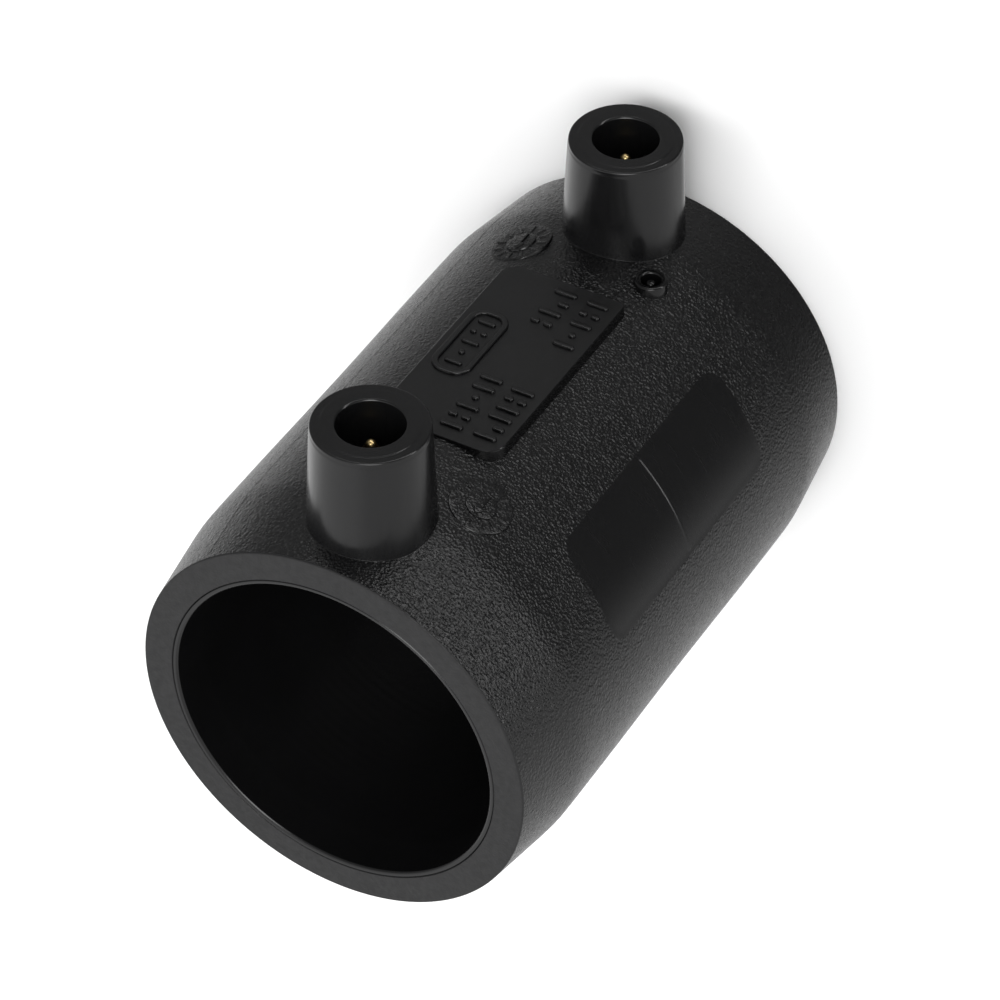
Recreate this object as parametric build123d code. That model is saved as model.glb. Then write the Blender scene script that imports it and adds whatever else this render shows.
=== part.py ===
from build123d import *
import os
from math import cos, radians, sin, tan

# Electrofusion coupler for a 50 mm polyethylene pressure pipe, in millimetres.
# +Z runs along the pipe bore and +X points the way both electrical terminals stand.
# The origin is on the bore axis, halfway along, where the two pipe ends meet.
# A half turn about +X maps the whole fitting onto itself, so each feature that comes in
# a pair is modelled once, beside the lower terminal, and turned over for its twin.

# ---- pipe and bore ----
PIPE_OD = 50.0  # nominal outside diameter of the pipe that is welded in
PIPE_CLEARANCE = 0.35  # radial room between the pipe and the bore
LEAD_IN_LENGTH = 6.2  # widened stretch inside each mouth
LEAD_IN_FLARE = 0.3  # how far the radius opens over that stretch

# ---- heating coil, wound on the liner ----
SKIN = 0.48  # polyethylene between the winding recess and the bore
WIRE_THICK = 0.65  # radial size of the flattened wire
WIRE_WIDE = 0.8  # axial size of the flattened wire
WIRE_PITCH = 1.735
WIRE_TURNS = 13  # in each of the two fusion zones
WIRE_CLEARANCE = 0.05  # each side of the straight run in its slot
WIRE_SEAT = 0.01  # room under and over the wire, so that it lies free between its neighbours
WINDING_END_ROOM = 0.5  # recess past the first and last turn

# ---- outer body ----
LENGTH = 98.0
WALL = 6.65  # body wall outside the liner
END_STEP = 1.95  # how much smaller the radius is at each end face
END_TAPER = 13.6  # length of the taper behind each end face

# ---- terminals ----
TERMINAL_INSET = 12.3  # from each end face to the terminal's axis
TERMINAL_RISE = 15.45  # from the body surface to the rim
TERMINAL_TOP_R = 8.5
TERMINAL_DRAFT = 2.6  # degrees
SOCKET_R = 4.9
SOCKET_FLOOR = 1.85  # floor of the socket above the body surface

# ---- contact pins ----
PIN_R = 2.0
PIN_RECESS = 3.1  # tip below the rim
PIN_NOSE = 2.55  # length of the slim nose above the shank
PIN_NOSE_R = 0.8
PIN_FOOT_R = 1.2
PIN_ROOT_R = 2.4  # buried stretch between the flange and the socket floor
PIN_FLANGE_R = 3.2
PIN_FLANGE = 1.2  # thickness of the buried flange
PIN_FLANGE_DEPTH = 3.7  # top of the flange below the socket floor

# ---- raised plate between the terminals ----
PLATE_LENGTH = 38.8
PLATE_WIDTH = 19.7
PLATE_RISE = 0.35  # flat top above the crest of the body
PLATE_SOFT_CORNER = 3.0
PLATE_TIGHT_CORNER = 1.0
PLATE_ROOT = 4.0  # how far the plate reaches down into the wall

# ---- smooth windows on both flanks ----
WINDOW_LENGTH = 45.5
WINDOW_FROM = 42.0  # degrees round from the terminals
WINDOW_TO = 73.0
WINDOW_CORNER = 3.0
WINDOW_SINK = 0.12

# ---- date marks ----
DIAL_R = 5.0
DIAL_INSET = 9.8  # along the bore, from the terminal's axis
DIAL_TURN = 21.0  # degrees round from the terminals
DIAL_PROUD = 0.07
DIAL_ROOT = 2.0

# ---- fusion indicators ----
GAUGE_INSET = 9.8  # along the bore, from the terminal's axis
GAUGE_SIDE = 9.85  # sideways from the terminals
COLLAR_R = 2.5
COLLAR_DROP = 0.3  # top of the collar below the crest of the body
WELL_R = 1.7
WELL_FLOOR = 6.0  # floor of the well below the crest of the body
GAUGE_PIN_R = 0.75
GAUGE_PIN_SUNK = 0.45  # tip of the pin below the collar

# ---- sizes that follow ----
BORE_R = PIPE_OD / 2 + PIPE_CLEARANCE
MOUTH_R = BORE_R + LEAD_IN_FLARE
RECESS_R = BORE_R + SKIN
WIRE_IN_R = RECESS_R + WIRE_SEAT
WIRE_OUT_R = WIRE_IN_R + WIRE_THICK
LINER_R = WIRE_OUT_R + WIRE_SEAT
BODY_R = LINER_R + WALL
END_R = BODY_R - END_STEP
HALF = LENGTH / 2
TERMINAL_Z = HALF - TERMINAL_INSET
WINDING_OUTER_Z = TERMINAL_Z + WIRE_WIDE / 2
WINDING_INNER_Z = WINDING_OUTER_Z - WIRE_WIDE - WIRE_PITCH * WIRE_TURNS
DIAL_Z = TERMINAL_Z - DIAL_INSET
GAUGE_Z = TERMINAL_Z - GAUGE_INSET
TERMINAL_TOP = BODY_R + TERMINAL_RISE
SOCKET_FLOOR_X = BODY_R + SOCKET_FLOOR


def around_bore(outline):
    """Revolves an outline of (radius, z) round the bore axis."""
    return revolve(Plane.XZ * make_face(outline), Axis.Z)


def around_terminal(outline):
    """Revolves an outline of (radius, x) round the lower terminal's axis."""
    stand = Plane(origin=(0, 0, -TERMINAL_Z), x_dir=(0, 0, 1), z_dir=(0, 1, 0))
    return revolve(stand * make_face(outline), Axis((0, 0, -TERMINAL_Z), (1, 0, 0)))


def turned_over(shape):
    """The twin of a shape: the same shape after a half turn about +X."""
    return shape.rotate(Axis.X, 180)


def radial_plane(turn, z=0.0):
    """A plane through the bore axis at height z, whose normal leans by turn from +X to +Y."""
    return Plane(origin=(0, 0, z), x_dir=(0, 0, 1), z_dir=(cos(radians(turn)), sin(radians(turn)), 0))


def barrel(inset=0.0):
    """The round outside of the body, or a copy that lies inset beneath it."""
    end_r = END_R - inset
    side_r = BODY_R - inset
    taper_z = HALF - END_TAPER
    upper = [(0, HALF), (end_r, HALF), (side_r, taper_z)]
    lower = [(r, -z) for r, z in reversed(upper)]
    return around_bore(Polyline(upper + lower, close=True))


def terminal_shroud():
    """The lower terminal as a solid post with draft."""
    root_x = LINER_R + WALL / 2
    root_r = TERMINAL_TOP_R + (TERMINAL_TOP - root_x) * tan(radians(TERMINAL_DRAFT))
    corners = [(0, root_x), (root_r, root_x), (TERMINAL_TOP_R, TERMINAL_TOP), (0, TERMINAL_TOP)]
    return around_terminal(Polyline(corners, close=True))


def terminal_socket():
    """The round pocket in the lower terminal that the contact pin stands in."""
    seat = Plane(origin=(SOCKET_FLOOR_X, 0, -TERMINAL_Z), x_dir=(0, 0, 1), z_dir=(1, 0, 0))
    return extrude(seat * Circle(SOCKET_R), TERMINAL_TOP - SOCKET_FLOOR_X + 1)


def contact_pin():
    """The lower contact pin: foot on the winding, buried flange and root, shank and slim nose."""
    flange_top = SOCKET_FLOOR_X - PIN_FLANGE_DEPTH
    flange_bottom = flange_top - PIN_FLANGE
    tip = TERMINAL_TOP - PIN_RECESS
    corners = [
        (0, RECESS_R),
        (PIN_FOOT_R, RECESS_R),
        (PIN_FOOT_R, flange_bottom),
        (PIN_FLANGE_R, flange_bottom),
        (PIN_FLANGE_R, flange_top),
        (PIN_ROOT_R, flange_top),
        (PIN_ROOT_R, SOCKET_FLOOR_X),
        (PIN_R, SOCKET_FLOOR_X),
        (PIN_R, tip - PIN_NOSE),
    ]
    round_x = tip - PIN_NOSE_R
    nose = [(PIN_NOSE_R * cos(radians(a)), round_x + PIN_NOSE_R * sin(radians(a))) for a in (0, 50)]
    pin = around_terminal(Polyline(corners + nose + [(0, tip)], close=True))
    return pin - Cylinder(LINER_R, LENGTH)


def name_plate():
    """The flat plate between the terminals, with two soft corners and two tight ones."""
    soft = RectangleRounded(PLATE_LENGTH, PLATE_WIDTH, PLATE_SOFT_CORNER)
    tight = RectangleRounded(PLATE_LENGTH, PLATE_WIDTH, PLATE_TIGHT_CORNER)
    quarter = Rectangle(PLATE_LENGTH / 2, PLATE_WIDTH / 2, align=Align.MIN)
    soft_corners = quarter + quarter.rotate(Axis.Z, 180)
    field = tight - soft_corners + (soft & soft_corners)
    top = BODY_R + PLATE_RISE
    stand = Plane(origin=(top - PLATE_ROOT, 0, 0), x_dir=(0, 0, 1), z_dir=(1, 0, 0))
    return extrude(stand * field, PLATE_ROOT)


def window_cut(side):
    """What is taken off the flank on one side (+1 or -1 along Y) to leave a sunk window."""
    middle = (WINDOW_FROM + WINDOW_TO) / 2
    chord = 2 * BODY_R * sin(radians(WINDOW_TO - WINDOW_FROM) / 2)
    field = RectangleRounded(WINDOW_LENGTH, chord, WINDOW_CORNER)
    prism = extrude(radial_plane(side * middle) * field, BODY_R + 1)
    return prism - barrel(WINDOW_SINK)


def date_dial():
    """The flat round date mark beside the lower terminal."""
    pad_plane = radial_plane(DIAL_TURN, -DIAL_Z).offset(BODY_R + DIAL_PROUD - DIAL_ROOT)
    return extrude(pad_plane * Circle(DIAL_R), DIAL_ROOT)


def gauge_collar():
    """The raised collar of the fusion indicator beside the lower terminal."""
    top = BODY_R - COLLAR_DROP
    seat = Plane(origin=(top - PLATE_ROOT, -GAUGE_SIDE, -GAUGE_Z), x_dir=(0, 0, 1), z_dir=(1, 0, 0))
    return extrude(seat * Circle(COLLAR_R), PLATE_ROOT)


def gauge_well():
    """The ring-shaped well round the indicator pin, which stays joined at its foot."""
    floor = BODY_R - WELL_FLOOR
    tip = BODY_R - COLLAR_DROP - GAUGE_PIN_SUNK
    seat = Plane(origin=(floor, -GAUGE_SIDE, -GAUGE_Z), x_dir=(0, 0, 1), z_dir=(1, 0, 0))
    well = extrude(seat * Circle(WELL_R), WELL_FLOOR + 1)
    pin = extrude(seat * Circle(GAUGE_PIN_R), tip - floor)
    return well - pin


def coupler_body(pins):
    """The outer moulding, with everything that stands on it and the room for what it holds."""
    raised = [terminal_shroud(), date_dial(), gauge_collar()]
    hollow = [terminal_socket(), gauge_well()]
    body = barrel() + name_plate()
    for part in raised:
        body = body + part + turned_over(part)
    for part in hollow:
        body = body - part - turned_over(part)
    body = body - window_cut(1) - window_cut(-1) - Cylinder(LINER_R, LENGTH + 2)
    for pin in pins:
        body = body - pin
    return body


def winding_liner():
    """The thin sleeve that forms the bore and carries the winding in two shallow recesses."""
    lead_z = HALF - LEAD_IN_LENGTH
    recess_in = WINDING_INNER_Z - WINDING_END_ROOM
    recess_out = WINDING_OUTER_Z + WINDING_END_ROOM
    upper = [
        (BORE_R, lead_z),
        (MOUTH_R, HALF),
        (LINER_R, HALF),
        (LINER_R, recess_out),
        (RECESS_R, recess_out),
        (RECESS_R, recess_in),
        (LINER_R, recess_in),
    ]
    lower = [(r, -z) for r, z in reversed(upper)]
    sleeve = around_bore(Polyline(upper + lower, close=True))
    slot = Pos(LINER_R, 0, 0) * Box(2 * (LINER_R - RECESS_R), WIRE_WIDE + 2 * WIRE_CLEARANCE, 2 * recess_out)
    return sleeve - (slot - Cylinder(RECESS_R, LENGTH))


def heating_coil():
    """The wire: the turns of each fusion zone, side by side as one sleeve, and the run between."""
    shell = Cylinder(WIRE_OUT_R, 2 * WINDING_OUTER_Z) - Cylinder(WIRE_IN_R, LENGTH)
    gap = Cylinder(LINER_R, 2 * WINDING_INNER_Z)
    run = Pos(LINER_R, 0, 0) * Box(LINER_R, WIRE_WIDE, LENGTH)
    return shell - (gap - run)


def main():
    """Builds each piece and writes it to its own file."""
    lower_pin = contact_pin()
    upper_pin = turned_over(lower_pin)
    pieces = {
        "coupler_body": coupler_body([lower_pin, upper_pin]),
        "winding_liner": winding_liner(),
        "heating_coil": heating_coil(),
        "lower_contact_pin": lower_pin,
        "upper_contact_pin": upper_pin,
    }
    os.makedirs("parts", exist_ok=True)
    for node, shape in pieces.items():
        solids = shape.solids()
        export_step(solids[0] if len(solids) == 1 else shape, f"parts/{node}.step")


main()
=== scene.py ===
"""The looks of an electrofusion coupler for 50 mm pipe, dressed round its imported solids.

Lengths in the classes are millimetres and angles degrees. +Z runs along the bore and +X the way
both terminals stand. Meshes are turned into metres when they become objects.
"""

import logging
import math
from dataclasses import dataclass, field
from enum import Enum

import bmesh
import bpy
import numpy as np
from mathutils import Matrix, Vector
from mathutils.geometry import delaunay_2d_cdt


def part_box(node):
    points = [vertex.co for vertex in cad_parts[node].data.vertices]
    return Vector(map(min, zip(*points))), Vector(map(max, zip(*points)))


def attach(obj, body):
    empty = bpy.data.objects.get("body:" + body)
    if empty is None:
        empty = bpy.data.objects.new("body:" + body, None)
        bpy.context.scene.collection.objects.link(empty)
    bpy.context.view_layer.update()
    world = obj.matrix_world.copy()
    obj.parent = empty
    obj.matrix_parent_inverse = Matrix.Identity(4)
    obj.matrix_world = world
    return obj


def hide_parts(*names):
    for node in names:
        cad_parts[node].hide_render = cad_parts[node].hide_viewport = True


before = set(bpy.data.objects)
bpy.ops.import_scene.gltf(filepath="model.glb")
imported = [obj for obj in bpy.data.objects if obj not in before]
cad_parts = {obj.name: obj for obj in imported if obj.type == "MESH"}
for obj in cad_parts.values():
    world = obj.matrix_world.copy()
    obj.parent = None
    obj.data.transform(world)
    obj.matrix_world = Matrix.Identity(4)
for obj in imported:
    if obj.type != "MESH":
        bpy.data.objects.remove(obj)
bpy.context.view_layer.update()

MM = 0.001
WELD = 2e-6  # metres: points closer than this become one
POINT = 0.02  # millimetres: the radius at which a turned shape is closed
SAME = 1e-4  # millimetres: points of an outline closer than this are one
MERGE = 1e-7  # millimetres: the same, where the saddle is laid flat
PITCH = 1.735  # millimetres: from one turn of the wire to the next
LOG = logging.getLogger("coupler")
Value = np.ndarray | float
Pair = tuple[float, float]
Triple = tuple[float, float, float]
Socket = bpy.types.NodeSocket


class Finish(Enum):
    """The surface finishes that one moulding can show, each a material slot of its mesh."""

    GRAIN = 0
    PLATE = 1
    WINDOW = 2
    SHROUD = 3
    END = 4
    # Walls, collars and wells: glossier, with a darker colour that is painted shade.
    EDGE = 5


def node_box(node: str) -> tuple[np.ndarray, np.ndarray]:
    """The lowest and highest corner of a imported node.

    Args:
        node: the node's name.

    Returns:
        Both corners in millimetres.
    """
    low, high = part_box(node)
    return np.array(low) / MM, np.array(high) / MM


def turned(points: np.ndarray) -> np.ndarray:
    """The same points after a half turn about +X, which maps the fitting onto itself."""
    return points * np.array([1.0, -1.0, -1.0])


def place(turn: float, depth: np.ndarray, side: np.ndarray, z: np.ndarray) -> np.ndarray:
    """Points given in a frame that leans round the bore.

    Args:
        turn: how far the frame leans from +X towards +Y.
        depth: distance out along the leaning direction.
        side: distance sideways from it.
        z: height along the bore.

    Returns:
        An array of points, one row each.
    """
    lean = math.radians(turn)
    depth, side, z = np.broadcast_arrays(depth, side, z)
    x = depth * math.cos(lean) - side * math.sin(lean)
    y = depth * math.sin(lean) + side * math.cos(lean)
    return np.stack([x, y, z], axis=1)


def full_turn(columns: int) -> np.ndarray:
    """Evenly spaced angles round a full turn, in radians."""
    return np.linspace(0, 2 * math.pi, columns, endpoint=False)


def polar(radius: Value, angle: Value, z: Value) -> np.ndarray:
    """Points given round the bore.

    Args:
        radius: distance from the bore's axis.
        angle: angle from +X towards +Y, in radians.
        z: height along the bore.

    Returns:
        An array of points, one row each.
    """
    radius, angle, z = np.broadcast_arrays(radius, angle, z)
    return np.stack([radius * np.cos(angle), radius * np.sin(angle), z], axis=1)


def hoop(side: float, z: float, radius: Value, x: Value, columns: int) -> np.ndarray:
    """A row of points round an axis that runs along +X.

    Args:
        side: the axis's distance sideways.
        z: the axis's height along the bore.
        radius: distance from the axis, for the whole row or for each point.
        x: distance out along +X, in the same way.
        columns: how many points the row has.

    Returns:
        An array of points, one row each.
    """
    angle = full_turn(columns)
    x, side, z = np.broadcast_arrays(x, side + radius * np.sin(angle), z + radius * np.cos(angle))
    return np.stack([x, side, z], axis=1)


def quarter(radius: float, top: float, rounding: float, pieces: int) -> list[Pair]:
    """A quarter circle that rounds a wall into the top it meets.

    Args:
        radius: the wall's distance from its axis.
        top: the height of the top.
        rounding: the radius of the rounding.
        pieces: how many straight pieces it is made of.

    Returns:
        Pairs of radius and height, from the wall to the top.
    """
    found = []
    for angle in np.linspace(0, math.pi / 2, pieces + 1):
        found.append((radius - rounding * (1 - math.cos(angle)), top - rounding * (1 - math.sin(angle))))
    return found


def inside(ring: np.ndarray, points: np.ndarray) -> np.ndarray:
    """Which flat points lie within a closed flat ring.

    Args:
        ring: the ring's corners, one row each.
        points: the points to test, one row each.

    Returns:
        One truth value for each point.
    """
    result = np.zeros(len(points), bool)
    low, high = ring.min(axis=0), ring.max(axis=0)
    near = np.nonzero(((points >= low) & (points <= high)).all(axis=1))[0]
    if len(near) == 0:
        return result
    px, py = points[near, 0][:, None], points[near, 1][:, None]
    ax, ay = ring[:, 0][None, :], ring[:, 1][None, :]
    bx, by = np.roll(ring[:, 0], -1)[None, :], np.roll(ring[:, 1], -1)[None, :]
    crosses = (ay > py) != (by > py)
    rise = np.where(by == ay, 1.0, by - ay)
    at = ax + (py - ay) * (bx - ax) / rise
    result[near] = (crosses & (px < at)).sum(axis=1) % 2 == 1
    return result


@dataclass(frozen=True)
class PinSeat:
    """The sizes that a contact pin shares with the terminal it sits in."""

    root_r: float = 2.4
    root_top: float = 35.0
    flange_r: float = 3.2
    flange_top: float = 31.3
    flange_bottom: float = 30.1
    foot_r: float = 1.2
    foot_x: float = 26.55
    foot_gap: float = 0.05


SEAT = PinSeat()


@dataclass
class Mesher:
    """Collects points and faces and turns them into one welded mesh object."""

    points: list[np.ndarray] = field(default_factory=list)
    faces: list[tuple[int, ...]] = field(default_factory=list)
    finishes: list[int] = field(default_factory=list)
    count: int = 0

    def add(self, points: np.ndarray) -> np.ndarray:
        """Adds points and gives their numbers.

        Args:
            points: one row each.

        Returns:
            The number of each point.
        """
        self.points.append(np.asarray(points, float))
        start = self.count
        self.count += len(points)
        return np.arange(start, self.count)

    def face(self, corners: tuple[int, ...], finish: Finish = Finish.GRAIN) -> None:
        """Adds one face by its corners' numbers."""
        self.faces.append(corners)
        self.finishes.append(finish.value)

    def strip(self, rings: list[np.ndarray], finish: Finish = Finish.GRAIN, closed: bool = True) -> None:
        """Joins rows of equally many points by quads.

        Args:
            rings: the rows of points, in order.
            finish: the finish of the faces.
            closed: whether each row joins up with its own start.
        """
        rows = [self.add(ring) for ring in rings]
        columns = len(rows[0])
        last = columns if closed else columns - 1
        for low, high in zip(rows, rows[1:]):
            for i in range(last):
                j = (i + 1) % columns
                self.face((int(low[i]), int(low[j]), int(high[j]), int(high[i])), finish)

    def rod(self, rings: list[np.ndarray]) -> None:
        """Joins rows of points and closes both ends.

        Args:
            rings: the rows of points, in order.
        """
        self.strip(rings)
        self.cap(rings[0])
        self.cap(rings[-1])

    def cap(self, ring: np.ndarray, finish: Finish = Finish.GRAIN) -> None:
        """Closes a ring with a fan about its middle.

        Args:
            ring: the row of points.
            finish: the finish of the faces.
        """
        numbers = self.add(ring)
        middle = int(self.add(ring.mean(axis=0)[None, :])[0])
        for i, number in enumerate(numbers):
            after = int(numbers[(i + 1) % len(numbers)])
            self.face((int(number), after, middle), finish)

    def build(
        self, name: str, materials: list[bpy.types.Material], crease: float = 38.0
    ) -> bpy.types.Object:
        """Makes the object.

        Args:
            name: the piece's name.
            materials: its materials, in the order of the finishes.
            crease: edges sharper than this many degrees stay sharp.

        Returns:
            The new object, linked to the scene.
        """
        mesh = bpy.data.meshes.new(name)
        points = np.concatenate(self.points) * MM
        mesh.from_pydata(points.tolist(), [], self.faces)
        for material in materials:
            mesh.materials.append(material)
        mesh.polygons.foreach_set("material_index", np.array(self.finishes, np.int32))
        work = bmesh.new()
        work.from_mesh(mesh)
        bmesh.ops.remove_doubles(work, verts=work.verts, dist=WELD)
        bmesh.ops.dissolve_degenerate(work, edges=work.edges, dist=WELD / 2)
        bmesh.ops.recalc_face_normals(work, faces=work.faces)
        limit = math.radians(crease)
        for edge in work.edges:
            edge.smooth = len(edge.link_faces) != 2 or edge.calc_face_angle(0.0) < limit
        for face in work.faces:
            face.smooth = True
        work.to_mesh(mesh)
        work.free()
        piece = bpy.data.objects.new(name, mesh)
        bpy.context.scene.collection.objects.link(piece)
        even = piece.modifiers.new("even_shading", "WEIGHTED_NORMAL")
        even.keep_sharp = True
        LOG.info("%s: %d faces", name, len(mesh.polygons))
        return piece


@dataclass(frozen=True)
class Outline:
    """A rounded rectangle in a flat frame of sideways distance and height."""

    side: float
    z: float
    half_side: float
    half_z: float
    corners: tuple[float, float, float, float]
    step: float = 0.35
    lean: float = 0.0
    least_r: float = 0.03

    def ring(self, inset: float = 0.0) -> np.ndarray:
        """The outline's points, counter-clockwise.

        Args:
            inset: how far inside the true outline they run.

        Returns:
            One row of (side, z) for each point.
        """
        signs = ((1, 1), (-1, 1), (-1, -1), (1, -1))
        half = (self.half_side - inset, self.half_z - inset)
        middle = np.array([self.side, self.z])
        arcs = []
        for k, (along, up) in enumerate(signs):
            radius = max(self.corners[k] - inset, self.least_r)
            centre = middle + np.array([along * (half[0] - radius), up * (half[1] - radius)])
            pieces = max(3, math.ceil(radius * math.pi / 2 / self.step))
            angles = np.radians(90.0 * k + np.linspace(0, 90, pieces + 1))
            arcs.append(centre + radius * np.stack([np.cos(angles), np.sin(angles)], axis=1))
        points = []
        for arc, after in zip(arcs, arcs[1:] + arcs[:1]):
            points.extend(arc)
            gap = after[0] - arc[-1]
            pieces = max(1, math.ceil(np.hypot(*gap) / (2 * self.step)))
            points.extend(arc[-1] + gap * i / pieces for i in range(1, pieces))
        apart = [np.hypot(*(point - points[i - 1])) > SAME for i, point in enumerate(points)]
        kept = np.array(points)[apart]
        along, up = math.cos(math.radians(self.lean)), math.sin(math.radians(self.lean))
        return middle + (kept - middle) @ np.array([[along, up], [-up, along]])


def disc(side: float, z: float, radius: float, step: float = 0.35) -> Outline:
    """The outline of a circle."""
    return Outline(side, z, radius, radius, (radius,) * 4, step)


@dataclass(frozen=True)
class Arrow:
    """An arrow that points up in the same flat frame."""

    side: float
    z: float
    shaft: float = 0.42
    head: float = 0.95
    tip: float = 0.12
    head_tall: float = 1.425
    half: float = 1.95

    def ring(self, inset: float = 0.0) -> np.ndarray:
        """The arrow's corners, counter-clockwise, with its sides brought in by inset.

        Args:
            inset: how far its sides are brought in.

        Returns:
            One row of (side, z) for each corner.
        """
        neck = self.half - self.head_tall
        half = ((self.shaft, -self.half), (self.shaft, neck), (self.head, neck), (self.tip, self.half))
        corners = np.array(half + tuple((-side, z) for side, z in reversed(half)))
        before = corners - np.roll(corners, 1, axis=0)
        after = np.roll(corners, -1, axis=0) - corners
        before /= np.linalg.norm(before, axis=1)[:, None]
        after /= np.linalg.norm(after, axis=1)[:, None]
        in_before = np.stack([-before[:, 1], before[:, 0]], 1)
        in_after = np.stack([-after[:, 1], after[:, 0]], 1)
        mitre = (in_before + in_after) / (1 + (in_before * in_after).sum(axis=1))[:, None]
        return corners + inset * mitre + np.array([self.side, self.z])


@dataclass(frozen=True)
class Ring:
    """A closed row of points, in space and laid flat as (arc, z)."""

    solid: np.ndarray
    flat: np.ndarray


@dataclass(frozen=True)
class Barrel:
    """The round outside of the body: straight sides with a slight sink, and a taper to each end."""

    side_r: float
    half: float
    end_step: float = 1.95  # how much thinner an end is
    taper: float = 13.6
    crease: float = 1.2  # how softly the taper sets in
    sink: float = 0.12
    sink_half: float = 25.0

    def radius(self, z: np.ndarray) -> np.ndarray:
        """The radius at a height along the bore.

        Args:
            z: the height, or one for each point.

        Returns:
            The radius there.
        """
        past = np.abs(z) - (self.half - self.taper)
        ramp = 0.5 * (past + np.sqrt(past**2 + self.crease**2))
        share = np.clip(np.abs(z) / self.sink_half, 0, 1)
        hollow = self.sink * 0.5 * (1 + np.cos(math.pi * share))
        return self.side_r - ramp * self.end_step / self.taper - hollow

    def depth(self, side: np.ndarray, z: np.ndarray) -> np.ndarray:
        """How far out the surface lies along a direction, at a distance sideways from it."""
        return np.sqrt(self.radius(z) ** 2 - np.asarray(side) ** 2)

    def wrap(self, flat: np.ndarray, lift: float = 0.0) -> np.ndarray:
        """Wraps flat (arc, z) points round the bore, a little above or below the surface."""
        return polar(self.radius(flat[:, 1]) + lift, flat[:, 0] / self.side_r, flat[:, 1])

    def lay(self, turn: float, side: np.ndarray, z: np.ndarray) -> np.ndarray:
        """Lays points given by their distance sideways flat as (arc, z)."""
        arc = (math.radians(turn) + np.arcsin(side / self.side_r)) * self.side_r
        return np.stack([arc, z], axis=1)


@dataclass(frozen=True)
class Boss:
    """A low flat shape, raised or sunk, whose walls run straight along one direction out of the bore.

    Each step is an inset from its outline and a distance out from the bore, or None on the barrel.
    """

    turn: float
    outline: Outline | Arrow
    steps: tuple[tuple[float, float | None], ...]
    finish: Finish

    def rings(self, barrel: Barrel) -> list[Ring]:
        """The rows of points from the foot of its wall to its top.

        Args:
            barrel: the surface that it stands on.

        Returns:
            The rows, in order.
        """
        rows = []
        for inset, level in self.steps:
            side, z = self.outline.ring(inset).T
            depth = barrel.depth(side, z) if level is None else level
            rows.append(Ring(place(self.turn, depth, side, z), barrel.lay(self.turn, side, z)))
        return rows

    def crown(self, barrel: Barrel, flat: np.ndarray) -> np.ndarray:
        """Points on its top, from where they lie flat."""
        side = barrel.side_r * np.sin(flat[:, 0] / barrel.side_r - math.radians(self.turn))
        return place(self.turn, self.steps[-1][1], side, flat[:, 1])


@dataclass(frozen=True)
class Skin:
    """A patch that follows the barrel a little above or below it. Its outline wraps round the bore."""

    outline: Outline
    lift: float
    edge: float
    finish: Finish
    base: float = 0.0

    def rings(self, barrel: Barrel) -> list[Ring]:
        """The rows of points from the foot of its edge to its inside.

        Args:
            barrel: the surface that it follows.

        Returns:
            The two rows.
        """
        rows = []
        for inset, lift in ((0.0, self.base), (self.edge, self.lift)):
            flat = self.outline.ring(inset)
            rows.append(Ring(barrel.wrap(flat, lift), flat))
        return rows

    def crown(self, barrel: Barrel, flat: np.ndarray) -> np.ndarray:
        """Points on it, from where they lie flat."""
        return barrel.wrap(flat, self.lift)


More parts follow.
